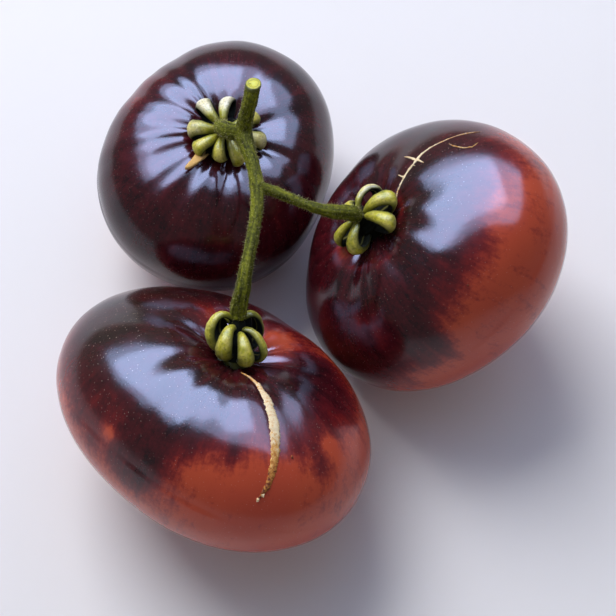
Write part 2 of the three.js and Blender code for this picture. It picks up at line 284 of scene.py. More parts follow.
# Corky scars along the skin as (direction, angle down, half-width in mm, age from 0, pale,
# to 1, brown) points, and the height of their ridges in mm.
SCARS = {
    "front": {
        "rise": 0.34,
        "lines": [
            [
                (-84, 9, 0.3, 0.5), (-72, 13, 0.45, 0.35), (-69, 17, 0.65, 0.2),
                (-70, 21, 0.85, 0.1), (-69, 26, 1.1, 0.0), (-70, 31, 1.25, 0.0),
                (-70, 36, 1.3, 0.0), (-71, 41, 1.25, 0.0), (-72, 47, 1.2, 0.3),
                (-73, 53, 1.05, 0.48), (-74, 58, 0.95, 0.6), (-75, 63, 0.85, 0.72),
                (-76, 67, 0.75, 0.82), (-77.2, 70.4, 0.6, 0.9), (-78.4, 74.2, 0.5, 1.0),
            ],
            [(-77.7, 71.4, 0.52, 0.1), (-76.5, 71.2, 0.52, 0.1)],
            [(-79.0, 74.4, 0.46, 0.1), (-78.0, 74.2, 0.46, 0.1)],
            [(-65.5, 52, 0.42, 1.0), (-64.7, 52, 0.42, 1.0)],
        ],
    },
    "right": {
        "rise": 0.16,
        "lines": [
            [
                (16, 12, 0.2, 0.2), (26, 15, 0.28, 0.1), (28, 16.5, 0.17, 0.1),
                (30, 18, 0.34, 0.0), (31.5, 19.5, 0.19, 0.0), (33, 21, 0.46, 0.0),
                (34, 23, 0.22, 0.0), (35, 25, 0.36, 0.0), (36, 27.5, 0.22, 0.0),
                (37, 30, 0.48, 0.0), (38, 33, 0.28, 0.0), (38, 38, 0.19, 0.05),
                (37, 43, 0.15, 0.1), (36, 51, 0.13, 0.15), (35, 57, 0.11, 0.2),
                (34, 64, 0.07, 0.2),
            ],
            [(33, 21, 0.32, 0.0), (37, 20.5, 0.2, 0.1), (42, 20, 0.08, 0.2)],
            [(37, 29.5, 0.36, 0.0), (43, 29, 0.26, 0.0), (51, 28.5, 0.08, 0.1)],
            [(37, 30, 0.36, 0.0), (33, 30.5, 0.26, 0.0), (29, 31, 0.08, 0.1)],
            [(36, 27, 0.2, 0.0), (33, 27.5, 0.1, 0.1)],
            [
                (33, 45, 0.08, 0.3), (29, 46, 0.14, 0.3), (25, 49, 0.17, 0.3),
                (24, 53, 0.17, 0.3), (26, 57, 0.12, 0.3),
            ],
            [(-45.4, 62, 0.26, 1.0), (-44.8, 62, 0.26, 1.0)],
        ],
    },
}
SCAR_SIDES = 10
SCAR_STEP = 0.35
SCAR_LEAST_STEPS = 8
SCAR_TAPER = 9.0  # how short a scar's pointed ends are
SCAR_WIDTHS = (0.84, 1.16)  # least and most, as shares of the half-width
SCAR_SHIFT = 0.06
SCAR_SEED = 3


def linear(value):
    """The linear colour, with alpha, of a 0xRRGGBB screen colour."""
    channels = [(value >> shift & 255) / 255 for shift in (16, 8, 0)]
    return (*[c / 12.92 if c <= 0.04045 else ((c + 0.055) / 1.055) ** 2.4 for c in channels], 1.0)


def smooth_step(low, high, value):
    """0 below low, 1 above high, and an eased rise between them."""
    t = min(1.0, max(0.0, (value - low) / (high - low)))
    return t * t * (3.0 - 2.0 * t)


def turn_between(a, b):
    """The smallest turn from one direction to another, in degrees."""
    return (a - b + 180.0) % 360.0 - 180.0


def eased_through(points, place):
    """The value at a place on a list of (place, value) points, eased between them."""
    for (start, before), (end, after) in zip(points, points[1:]):
        if place <= end:
            return before + (after - before) * smooth_step(start, end, place)
    return points[-1][1]


class Fruit:
    """One fruit: its skin in its own frame, and where that frame lies in the part."""

    def __init__(self, name):
        self.form = FRUITS[name]
        tilt = math.radians(self.form["tilt"])
        heading = math.radians(self.form["heading"])
        side = math.sin(tilt)
        axis = Vector((side * math.cos(heading), side * math.sin(heading), math.cos(tilt)))
        self.turn = UP.rotation_difference(axis)
        lowest = min(
            (self.turn @ self.skin(math.radians(down), math.radians(around), fine=False)).z
            for down in range(0, 181, 3)
            for around in range(0, 360, 6)
        )
        self.middle = Vector((*self.form["spot"], -lowest - REST_DEPTH))

    def crease_depth(self, around, distance, fine):
        """How deep the creases cut in at a distance from the stem scar."""
        starts = 1.0 - math.exp(-((distance / CREASE_START) ** 2))
        fades = math.exp(-((distance / CREASE_FADE) ** 2))
        creases = self.form["creases"]
        if fine:
            creases = creases + self.form["fine_creases"]
        depth = 0.0
        for direction, deep, half_width in creases:
            off = turn_between(math.degrees(around), direction) / half_width
            depth += deep * math.exp(-off * off)
        return depth * starts * fades

    def skin(self, down, around, fine=True):
        """A point of the skin in the fruit's own frame."""
        form = self.form
        side = math.sin(down)
        height = math.cos(down)
        unround = sum(
            form[wave][0] * math.cos(times * (around - math.radians(form[wave][1])))
            for times, wave in ((1, "offset"), (2, "oval"), (3, "third"))
        )
        distance = form["radius"] * max(side, 0.0) ** PROFILE_POWER * (1.0 + side * unround)
        half = form["crown"] if height > 0 else form["base"]
        z = half * math.copysign(abs(height) ** PROFILE_POWER, height)
        cut = 0.0
        if height > 0:
            z -= form["hollow"] * math.exp(-((distance / HOLLOW_WIDTH) ** 2))
            cut = self.crease_depth(around, distance, fine)
        point = Vector((distance * math.cos(around), distance * math.sin(around), z))
        return point * ((point.length - cut) / point.length)

    def place(self, point):
        """A point of the fruit's own frame, in the part's frame."""
        return self.turn @ point + self.middle

    def on_skin(self, around, down):
        """A skin point at directions in degrees, in the part's frame."""
        return self.place(self.skin(math.radians(down), math.radians(around)))

    def scar(self):
        """Where the stem scar lies in the part's frame."""
        return self.place(self.skin(0.0, 0.0))

    def outward(self, around, down):
        """The skin's normal at directions in degrees."""
        step = 0.6
        along = self.on_skin(around, down + step) - self.on_skin(around, down - step)
        across = self.on_skin(around + step, down) - self.on_skin(around - step, down)
        normal = along.cross(across).normalized()
        reach = self.on_skin(around, down) - self.middle
        return normal if normal.dot(reach) > 0 else -normal

    def side(self, turn):
        """The unit vector along the skin at the scar, in a direction in degrees."""
        return self.turn @ Vector((math.cos(math.radians(turn)), math.sin(math.radians(turn)), 0.0))


FRUIT = {name: Fruit(name) for name in FRUITS}


# Shader helpers.
def set_inputs(tree, node, inputs):
    """Links or sets a node's inputs, which are given by name or number."""
    for name, value in inputs.items():
        socket = node.inputs[name]
        if isinstance(value, bpy.types.NodeSocket):
            tree.links.new(value, socket)
        else:
            socket.default_value = value


def add_node(tree, kind, inputs=None, **settings):
    """A shader node with its settings and inputs."""
    node = tree.nodes.new(kind)
    for name, value in settings.items():
        setattr(node, name, value)
    set_inputs(tree, node, inputs or {})
    return node


def new_material(name):
    """A material, its tree with nothing else in it, and its shader."""
    material = bpy.data.materials.new(name)
    material.use_nodes = True
    tree = material.node_tree
    tree.nodes.clear()
    shader = add_node(tree, "ShaderNodeBsdfPrincipled")
    add_node(tree, "ShaderNodeOutputMaterial", {"Surface": shader.outputs["BSDF"]})
    return material, tree, shader


def attribute(tree, name, output="Fac"):
    """One of the mesh's own attributes."""
    return add_node(tree, "ShaderNodeAttribute", attribute_name=name).outputs[output]


def drawn_out(tree, name, scale):
    """A mesh's own coordinates, scaled so that a noise on them is drawn out into streaks."""
    inputs = {"Vector": attribute(tree, name, "Vector"), "Scale": scale}
    return add_node(tree, "ShaderNodeMapping", inputs).outputs["Vector"]


def object_place(tree):
    """Object coordinates, in metres."""
    return add_node(tree, "ShaderNodeTexCoord").outputs["Object"]


def noise_at(tree, place, scale, detail, roughness):
    """A noise on any coordinates."""
    inputs = {"Vector": place, "Scale": scale, "Detail": detail, "Roughness": roughness}
    return add_node(tree, "ShaderNodeTexNoise", inputs).outputs["Fac"]


def object_noise(tree, scale, detail=2.0, roughness=0.5):
    """A noise on object coordinates, scale in cells per metre."""
    return noise_at(tree, object_place(tree), scale, detail, roughness)


def math_node(tree, operation, first, second, third=0.5, clamp=False):
    """A math node's result."""
    inputs = {0: first, 1: second, 2: third}
    node = add_node(tree, "ShaderNodeMath", inputs, operation=operation, use_clamp=clamp)
    return node.outputs[0]


def add_scaled(tree, base, value, middle, amount):
    """base + (value - middle) * amount."""
    centred = math_node(tree, "SUBTRACT", value, middle)
    return math_node(tree, "MULTIPLY_ADD", centred, amount, base)


def ramp(tree, value, stops):
    """A colour through (place, colour) stops."""
    node = add_node(tree, "ShaderNodeValToRGB", {"Fac": value})
    elements = node.color_ramp.elements
    while len(elements) < len(stops):
        elements.new(0.5)
    for element, (place, colour) in zip(elements, stops):
        element.position = place
        element.color = colour
    return node.outputs["Color"]


def fade(tree, value, *stops):
    """An amount through (place, amount) stops."""
    return ramp(tree, value, [(place, (*[amount] * 3, 1.0)) for place, amount in stops])


def painted(tree, base, coats):
    """A colour with (amount, colour) coats over it, one after the other."""
    for amount, colour in coats:
        inputs = {0: amount, 6: base, 7: colour}
        base = add_node(tree, "ShaderNodeMix", inputs, data_type="RGBA").outputs[2]
    return base


def bump(tree, shader, height, distance, strength):
    """Fine relief from a height, distance in metres."""
    inputs = {"Height": height, "Distance": distance, "Strength": strength}
    normal = add_node(tree, "ShaderNodeBump", inputs).outputs["Normal"]
    set_inputs(tree, shader, {"Normal": normal})


def skin_material(name, colours):
    """Glossy tomato skin: ripe red under an indigo cap with streaked, drawn-out edges."""
    material, tree, shader = new_material(name)
    meridian = drawn_out(tree, "meridian", (9.0, 9.0, 1.5))
    cap = attribute(tree, "indigo")
    for value, amount in (
        (object_noise(tree, 38.0), 0.4),
        (noise_at(tree, meridian, 1.0, 4.0, 0.62), 0.5),
        (noise_at(tree, meridian, 4.0, 3.0, 0.6), 0.16),
        (object_noise(tree, 170.0, 3.0, 0.6), 0.5),
        (object_noise(tree, 900.0, 3.0, 0.7), 0.42),
    ):
        cap = add_scaled(tree, cap, value, 0.5, amount)
    red = ramp(
        tree,
        cap,
        [
            (0.1, colours.ripe),
            (0.28, colours.turning),
            (0.46, colours.maroon),
            (0.68, colours.purple),
            (0.98, colours.indigo),
        ],
    )
    warm = fade(tree, object_noise(tree, 55.0), (0.35, 0.0), (0.7, 0.35))
    ripe = fade(tree, cap, (0.1, 1.0), (0.4, 0.0))
    olive = attribute(tree, "olive")
    patchy = math_node(tree, "MULTIPLY", olive, object_noise(tree, 240.0, 3.0))
    cells = add_node(
        tree, "ShaderNodeTexVoronoi", {"Vector": object_place(tree), "Scale": 1300.0}
    )
    near = fade(tree, cells.outputs["Distance"], (0.07, 1.0), (0.2, 0.0))
    some = fade(tree, cells.outputs["Color"], (0.4, 0.0), (0.75, 1.0))
    dot = math_node(tree, "MULTIPLY", near, some)
    dot_share = math_node(tree, "MULTIPLY_ADD", olive, 0.4, 0.2)
    colour = painted(
        tree,
        red,
        (
            (math_node(tree, "MULTIPLY", warm, ripe), colours.orange),
            (math_node(tree, "MULTIPLY", patchy, 1.1, clamp=True), colours.olive),
            (math_node(tree, "MULTIPLY", dot, dot_share, clamp=True), colours.speckle),
        ),
    )
    rough = add_node(
        tree, "ShaderNodeMapRange", {0: object_noise(tree, 420.0, 3.0), 3: 0.13, 4: 0.22}
    )
    set_inputs(
        tree,
        shader,
        {
            "Base Color": colour,
            "Roughness": rough.outputs[0],
            "IOR": 1.42,
            "Specular IOR Level": 0.5,
        },
    )
    relief = add_scaled(tree, object_noise(tree, 1500.0), dot, 0.0, 0.6)
    bump(tree, shader, relief, 0.00003, 0.5)
    return material


def sepal_material(colours):
    """Fleshy, faintly hairy calyx green, with painted highlights on the sepals' tops, painted shade
    on their inner sides and toward their roots, and dried at spread tips.
    """
    material, tree, shader = new_material("calyx_green")
    share = attribute(tree, "share")
    across = attribute(tree, "across")
    light = fade(tree, object_noise(tree, 420.0, 4.0, 0.65), (0.36, 0.0), (0.62, 1.0))
    # Painted highlights: these masks mark the upper curve of each sepal, where a pale yellow
    # highlight and, as much as pale asks, a near-white highlight are painted.
    painted_crest_highlight = fade(tree, share, (0.4, 0.0), (0.58, 0.75), (0.72, 0.55), (0.88, 0.0))
    patchy = fade(tree, object_noise(tree, 330.0, 3.0, 0.6), (0.4, 0.0), (0.62, 1.0))
    top = fade(tree, share, (0.4, 0.0), (0.56, 1.0), (0.72, 0.8), (0.84, 0.0))
    pale = add_scaled(tree, attribute(tree, "pale"), object_noise(tree, 500.0, 3.0), 0.5, 0.8)
    top_highlight_share = fade(tree, pale, (0.1, 0.0), (0.9, 1.0))
    grain = fade(tree, object_noise(tree, 1700.0, 3.0, 0.6), (0.3, 0.6), (0.5, 0.0))
    # Painted shade: root darkens toward each sepal's root, a mottled copy of it spreads that shade
    # patchily, and inside paints shade over the sepals' inner sides.
    root = fade(tree, share, (0.12, 1.0), (0.56, 0.0))
    mottled_root_shade = add_scaled(tree, root, object_noise(tree, 650.0, 4.0, 0.7), 0.6, 2.8)
    inside = fade(tree, attribute(tree, "inner"), (0.3, 0.0), (0.56, 1.0))
    dry = add_scaled(tree, attribute(tree, "dried"), object_noise(tree, 900.0, 3.0), 0.5, 0.5)
    green = painted(
        tree,
        colours.fresh,
        (
            (light, colours.yellow),
            (math_node(tree, "MULTIPLY", painted_crest_highlight, patchy), colours.painted_crest_highlight),
            (math_node(tree, "MULTIPLY", top, top_highlight_share), colours.painted_top_highlight),
            (grain, colours.deep),
            (fade(tree, across, (0.4, 0.0), (0.97, 0.9)), colours.deep),
            (root, colours.deep),
            (fade(tree, share, (0.8, 0.0), (0.97, 0.75)), colours.deep),
            (math_node(tree, "MULTIPLY", mottled_root_shade, 0.55, clamp=True), colours.shade),
            (inside, colours.shade),
            (fade(tree, across, (0.0, 0.3), (0.14, 0.0)), colours.vein),
            (fade(tree, dry, (0.4, 0.0), (0.65, 1.0)), colours.dried),
        ),
    )
    set_inputs(
        tree,
        shader,
        {
            "Base Color": green,
            "Coat Weight": fade(tree, inside, (0.0, 0.36), (0.3, 0.0)),
            "Coat Roughness": 0.3,
            "Roughness": 0.8,
            "Specular IOR Level": 0.05,
            "Sheen Weight": 0.05,
            "Sheen Roughness": 0.4,
        },
    )
    fine = object_noise(tree, 2600.0, 3.0, 0.6)
    relief = add_scaled(tree, fine, object_noise(tree, 900.0), 0.5, 1.6)
    bump(tree, shader, relief, 0.00012, 0.7)
    return material


def stem_material(colours):
    """Hairy green stem with lengthwise streaks and paler, yellower ribs."""
    material, tree, shader = new_material("stem_green")
    lengthwise = drawn_out(tree, "lengthwise", (2.4, 2.4, 0.22))
    streak = noise_at(tree, lengthwise, 0.6, 2.0, 0.5)
    tint = add_scaled(tree, streak, object_noise(tree, 1300.0, 3.0, 0.6), 0.5, 0.9)
    stops = [(0.2, colours.stem_dark), (0.5, colours.stem_green), (0.85, colours.stem_pale)]
    set_inputs(
        tree,
        shader,
        {
            "Base Color": ramp(tree, tint, stops),
            "Roughness": 0.7,
            "Specular IOR Level": 0.04,
            "Sheen Weight": 0.16,
            "Sheen Roughness": 0.35,
            "Sheen Tint": colours.hair,
        },
    )
    relief = add_scaled(tree, streak, object_noise(tree, 2400.0, 3.0), 0.5, 1.2)
    bump(tree, shader, relief, 0.0001, 0.6)
    return material


def cut_material(colours):
    """Freshly cut stem end: pale green flesh inside a darker rind."""
    material, tree, shader = new_material("cut_green")
    ring = add_scaled(tree, attribute(tree, "ring"), object_noise(tree, 1400.0, 3.0), 0.5, 0.3)
    stops = [
        (0.1, colours.pith),
        (0.5, colours.yellow),
        (0.66, colours.fresh),
        (0.78, colours.yellow),
        (0.95, colours.deep),
    ]
    set_inputs(
        tree,
        shader,
        {"Base Color": ramp(tree, ring, stops), "Roughness": 0.5, "Specular IOR Level": 0.15},
    )
    bump(tree, shader, object_noise(tree, 3000.0, 3.0), 0.0001, 0.6)
    return material


def cork_material(colours):
    """Dry, cracked scar tissue, browner where it is old."""
    material, tree, shader = new_material("corky_scar")
    grain = object_noise(tree, 1500.0, 5.0, 0.65)
    tint = add_scaled(tree, grain, attribute(tree, "old"), 0.0, -0.55)
    stops = [
        (0.0, colours.dark_cork),
        (0.12, colours.old_cork),
        (0.28, colours.cork),
        (0.52, colours.pale_cork),
    ]
    set_inputs(
        tree,
        shader,
        {"Base Color": ramp(tree, tint, stops), "Roughness": 0.7, "Specular IOR Level": 0.12},
    )
    bump(tree, shader, object_noise(tree, 2600.0, 4.0, 0.7), 0.0002, 0.9)
    return material


def hair_material(colours):
    """Fine pale hairs."""
    material, tree, shader = new_material("pale_hair")
    stops = [(0.3, colours.hair_shade), (0.7, colours.hair)]
    set_inputs(
        tree,
        shader,
        {
            "Base Color": ramp(tree, object_noise(tree, 300.0), stops),
            "Roughness": 0.5,
            "Specular IOR Level": 0.1,
        },
    )
    return material


# Mesh helpers.
def finish_piece(mesh_data, name, material, slot, nodes=()):
    """Makes a bmesh in millimetres into a piece that rides on the truss."""
    bmesh.ops.scale(mesh_data, vec=(MM, MM, MM), verts=mesh_data.verts)
    mesh = bpy.data.meshes.new(name)
    mesh_data.to_mesh(mesh)
    mesh_data.free()
    mesh.shade_smooth()
    mesh.materials.append(material)
    piece = bpy.data.objects.new(name, mesh)
    bpy.context.scene.collection.objects.link(piece)
    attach(piece, BODY)
    if nodes:
        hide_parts(*nodes)


class Curve:
    """A smooth line through points, with the length shared out evenly."""

    SAMPLES = 24

    def __init__(self, points):
        self.points = [Vector(point) for point in points]
        self.knots = [0.0]
        for a, b in zip(self.points, self.points[1:]):
            self.knots.append(self.knots[-1] + max(1e-6, (b - a).length) ** 0.5)
        steps = (len(self.points) - 1) * self.SAMPLES
        self.places = [self._at(self.knots[-1] * i / steps) for i in range(steps + 1)]
        self.lengths = [0.0]
        for a, b in zip(self.places, self.places[1:]):
            self.lengths.append(self.lengths[-1] + (b - a).length)
        self.length = self.lengths[-1]

    def _point(self, index):
        """A point of the line, or one carried on past its ends."""
        last = len(self.points) - 1
        if index < 0:
            return self.points[0] * 2 - self.points[1]
        if index > last:
            return self.points[last] * 2 - self.points[last - 1]
        return self.points[index]

    def _at(self, knot):
        """The place at a knot value, on a centripetal spline."""
        index = 0
        while index < len(self.knots) - 2 and knot > self.knots[index + 1]:
            index += 1
        p = [self._point(index + k) for k in (-1, 0, 1, 2)]
        gaps = [max(1e-6, (b - a).length) ** 0.5 for a, b in zip(p, p[1:])]
        t0 = self.knots[index] - gaps[0]
        t1 = self.knots[index]
        t2 = self.knots[index + 1]
        t3 = t2 + gaps[2]

        def blend(a, b, start, end):
            return a * ((end - knot) / (end - start)) + b * ((knot - start) / (end - start))

        a1 = blend(p[0], p[1], t0, t1)
        a2 = blend(p[1], p[2], t1, t2)
        a3 = blend(p[2], p[3], t2, t3)
        return blend(blend(a1, a2, t0, t2), blend(a2, a3, t1, t3), t1, t2)

    def at(self, share):
        """The point, the tangent and the place among the points at a share of the length."""
        wanted = min(max(share, 0.0), 1.0) * self.length
        index = 0
        while index < len(self.lengths) - 2 and self.lengths[index + 1] < wanted:
            index += 1
        a, b = self.places[index], self.places[index + 1]
        gap = max(1e-9, self.lengths[index + 1] - self.lengths[index])
        part = (wanted - self.lengths[index]) / gap
        return a.lerp(b, part), (b - a).normalized(), (index + part) / self.SAMPLES


def add_tube(mesh_data, sides, steps, place_ring):
    """A closed tube: a circle extruded ring by ring, each moved into place by place_ring.

    place_ring takes a share of the length and returns a function from a point of the
    unit circle to a point in space. Returns (vertex, share, x, y) of the new vertices.
    """
    made = bmesh.ops.create_circle(mesh_data, segments=sides, radius=1.0)["verts"]
    ring = list({edge for vert in made for edge in vert.link_edges})
    ends = [ring]
    for _ in range(steps):
        grown = bmesh.ops.extrude_edge_only(mesh_data, edges=ring)["geom"]
        rim = [part for part in grown if isinstance(part, bmesh.types.BMVert)]
        on_rim = set(rim)
        ring = [
            part
            for part in grown
            if isinstance(part, bmesh.types.BMEdge) and on_rim.issuperset(part.verts)
        ]
        bmesh.ops.translate(mesh_data, vec=UP, verts=rim)
        made = made + rim
    ends.append(ring)
    for end in ends:
        cap = bmesh.ops.edgeloop_fill(mesh_data, edges=end)["faces"]
        made = made + bmesh.ops.poke(mesh_data, faces=cap)["verts"]
    placed = [(vert, vert.co.z / steps, vert.co.x, vert.co.y) for vert in made]
    rings = {}
    for vert, share, x, y in placed:
        step = round(share * steps)
        if step not in rings:
            rings[step] = place_ring(step / steps)
        vert.co = rings[step](x, y)
    return placed


def between(points, where, column):
    """A column's value at a place among the points, evenly between its neighbours."""
    before = min(len(points) - 2, int(where))
    start, end = points[before][column], points[before + 1][column]
    return start + (end - start) * (where - before)


def add_scar(scar, old, fruit, line, rise, seed):
    """A low corky ridge along the skin, with its age in the layer old."""
    curve = Curve([fruit.on_skin(point[0], point[1]) for point in line])
    steps = max(SCAR_LEAST_STEPS, round(curve.length / SCAR_STEP))
    wobble = random.Random(seed)
    widths = [wobble.uniform(*SCAR_WIDTHS) for _ in range(steps + 1)]
    shifts = [wobble.uniform(-SCAR_SHIFT, SCAR_SHIFT) for _ in range(steps + 1)]

    def place_ring(share):
        _, tangent, where = curve.at(share)
        around, down, half = (between(line, where, column) for column in range(3))
        step = round(share * steps)
        normal = fruit.outward(around, down)
        across = tangent.cross(normal).normalized()
        taper = math.sqrt(min(1.0, min(share, 1.0 - share) * SCAR_TAPER + 0.02))
        half *= widths[step] * taper
        centre = fruit.on_skin(around, down) + across * shifts[step] * half
        lift = rise * taper * (0.55 + 0.45 * widths[step])
        return lambda x, y: centre + across * x * half + normal * (y * lift + 0.02)

    for vert, share, _, _ in add_tube(scar, SCAR_SIDES, steps, place_ring):
        vert[old] = between(line, curve.at(share)[2], 3)


def bumpy(mesh_data, amount, size, seed):
    """Moves every vertex along its normal by a soft noise of that size."""
    mesh_data.normal_update()
    offset = Vector((seed * 7.3, seed * 3.1, seed * 5.7))
    moves = [(v, noise.noise(v.co / size + offset) * amount) for v in mesh_data.verts]
    for vert, move in moves:
        vert.co += vert.normal * move


def sepal_half_width(width, share):
    """A sepal's half-width at a share of its length: less at the root, curl and tip."""
    root = 0.6 + 0.4 * min(1.0, share / 0.3)
    curl = 1.0 - 0.62 * max(0.0, (share - 0.48) / 0.52)
    tip = math.sqrt(min(1.0, max(0.0, 1.03 - share) / 0.1))
    return width / 2 * root * curl * tip


def colour_property(name, description, value):
    """A colour setting whose default is a 0xRRGGBB screen colour."""
    return FloatVectorProperty(
        name=name,
        description=description,
        default=linear(value),
        size=4,
        min=0.0,
        max=1.0,
        subtype="COLOR",
    )


class TrussSkinSettings(bpy.types.PropertyGroup):
    """Colours of the fruits' skin."""

    indigo: colour_property("Indigo", "Skin where the sun made it darkest", 0x20070E)
    purple: colour_property("Purple", "Edge of the indigo colour", 0x4A1119)
    maroon: colour_property("Maroon", "Skin between purple and red", 0x68181C)
    turning: colour_property("Turning", "Red with a veil of purple", 0x8C2B25)
    ripe: colour_property("Ripe", "Ripe red skin", 0xB5452F)
    orange: colour_property("Orange", "Lighter flecks in the ripe skin", 0xCB5A32)
    olive: colour_property("Olive", "Greenish shoulder of the indigo skin", 0x2A2118)
    speckle: colour_property("Speckle", "Tiny pale dots", 0xDCC4BA)


class TrussGreenSettings(bpy.types.PropertyGroup):
    """Colours and sizes of the calyces and the stem."""

    fresh: colour_property("Fresh green", "Main green", 0x94961A)
    yellow: colour_property("Yellow green", "Lighter green", 0xCAC430)
    # The next two colours are painted highlights on the sepals' upper curves: a pale yellow one and
    # a near-white one.
    painted_crest_highlight: colour_property("Crest", "Pale tops of the sepals", 0xE4D676)
    painted_top_highlight: colour_property("Pale crest", "Bleached tops of some sepals", 0xF6F2E2)
    # Deep green is the sepals' own darker edges, tips and grain and the cut end's rind, and also
    # painted shade toward the sepals' roots.
    deep: colour_property("Deep green", "Edges and hollows", 0x52540C)
    # Shade green is painted shade on the sepals' inner sides, near their roots and over the calyx's
    # neck.
    shade: colour_property("Shade green", "Inner sides", 0x0E1002)
    vein: colour_property("Vein", "Middle of a sepal", 0xC9C56A)
    dried: colour_property("Dried", "Dried tips", 0xD9B272)
    pith: colour_property("Pith", "Middle of the cut end", 0xD6DC5C)
    stem_dark: colour_property("Stem, dark", "Furrows of the stem", 0x26260A)
    stem_green: colour_property("Stem, green", "Main colour of the stem", 0x545810)
    stem_pale: colour_property("Stem, pale", "Ribs of the stem", 0x868A20)
    hair: colour_property("Hair", "Pale hairs", 0xD9D29C)
    hair_shade: colour_property("Hair shade", "Darker hairs", 0xA29A58)
    cork: colour_property("Cork", "Scar tissue", 0xD8A24E)
    pale_cork: colour_property("Pale cork", "Fresh scar tissue", 0xF6E6C4)
    old_cork: colour_property("Old cork", "Old scar tissue", 0xB8742A)
    dark_cork: colour_property("Dark cork", "Oldest scar tissue and pits", 0x6E3216)
    hair_length: FloatProperty(
        name="Hair length",
        description="Length of the stem's hairs",
        default=0.55 * MM,
        min=0.0,
        unit="LENGTH",
    )
    hair_count: IntProperty(
        name="Hairs",
        description="How many hairs the stem has",
        default=2600,
        min=0,
    )


class TrussStageSettings(bpy.types.PropertyGroup):
    """Camera, floor and lights."""

    floor: colour_property("Floor", "Plain pale floor", 0xE2E1E4)
    surround: colour_property("Surround", "Light from all round", 0xE9ECF2)
    window_colour: colour_property("Window", "Tint of the window light", 0xFDFBF8)
    glow_colour: colour_property("Glow", "Tint of the window as the skins mirror it", 0xB9CCFF)
    elevation: FloatProperty(
        name="Elevation",
        description="How far the camera looks down",
        default=math.radians(65),
        subtype="ANGLE",
    )
    distance: FloatProperty(
        name="Distance",
        description="From the camera to the point that it looks at",
        default=302 * MM,
        unit="LENGTH",
    )
    window_power: FloatProperty(
        name="Window power",
        description="Power of the soft window light, in watts",
        default=21.5,
        min=0.0,
    )
    glow_power: FloatProperty(
        name="Glow power",
        description="Power of the window as the skins mirror it, in watts",
        default=42.0,
        min=0.0,
    )
    surround_strength: FloatProperty(
        name="Surround strength",
        description="Strength of the light from all round",
        default=0.3,
        min=0.0,
    )


class TRUSS_OT_fruits(bpy.types.Operator):
    """Make the three fruits' skins"""

    bl_idname = "truss.fruits"
    bl_label = "Make Fruits"

    SLOTS = {"back": "skin_dark", "right": "skin_half", "front": "skin_red"}
    CAP_SOFTNESS = 40.0  # degrees over which the indigo fades out
    RIPE_LEVEL = 0.04
    CAP_LEVEL = 0.86
    LUMPS = ((13.0, 0.16), (5.5, 0.05))  # size and height of the skin's soft unevenness

    def execute(self, context):
        for name, fruit in FRUIT.items():
            self.make_skin(context, name, fruit)
        return {"FINISHED"}

    def make_skin(self, context, name, fruit):
        """One fruit's skin, with its ripeness and directions for the material."""
        skin = bmesh.new()
        bmesh.ops.create_uvsphere(
            skin, u_segments=SKIN_SEGMENTS, v_segments=SKIN_RINGS, radius=1.0
        )
        indigo = skin.verts.layers.float.new("indigo")
        olive = skin.verts.layers.float.new("olive")
        meridian = skin.verts.layers.float_vector.new("meridian")
        for vert in skin.verts:
            down = math.atan2(math.hypot(vert.co.x, vert.co.y), vert.co.z)
            around = math.atan2(vert.co.y, vert.co.x)
            vert[indigo] = self.indigo_at(fruit.form, around, down)
            vert[olive] = self.patch_sum(fruit.form["olive"], around, down)
            vert[meridian] = (math.cos(around), math.sin(around), down)
            place = fruit.place(fruit.skin(down, around))
            lump = sum(noise.noise(place / size) * rise for size, rise in self.LUMPS)
            place += fruit.outward(math.degrees(around), math.degrees(down)) * lump
            place.z = self.rest(place.z)
            vert.co = place
        material = skin_material(f"tomato_skin_{name}", context.scene.truss_skin)
        finish_piece(skin, f"skin_{name}", material, self.SLOTS[name], [f"tomato_{name}"])

    @staticmethod
    def rest(height):
        """The height after the fruit has settled on its small flat."""
        if height > 8 * REST_SOFTNESS:
            return height
        return REST_SOFTNESS * math.log1p(math.exp(height / REST_SOFTNESS))

    @staticmethod
    def patch_sum(patches, around, down):
        """What the patches add at a point of the skin."""
        total = 0.0
        for direction, angle, half_width, half_length, amount in patches:
            across = turn_between(math.degrees(around), direction) * math.sin(down)
            along = math.degrees(down) - angle
            near = (across / half_width) ** 2 + (along / half_length) ** 2
            total += amount * math.exp(-near)
        return total

    def indigo_at(self, form, around, down):
        """How dark the skin is, from 0, red, to 1, indigo."""
        edge = eased_through(form["cap"], math.degrees(around))
        half = self.CAP_SOFTNESS / 2
        inside = smooth_step(edge + half, edge - half, math.degrees(down))
        level = self.RIPE_LEVEL + (self.CAP_LEVEL - self.RIPE_LEVEL) * inside
        return level + self.patch_sum(form["patches"], around, down)


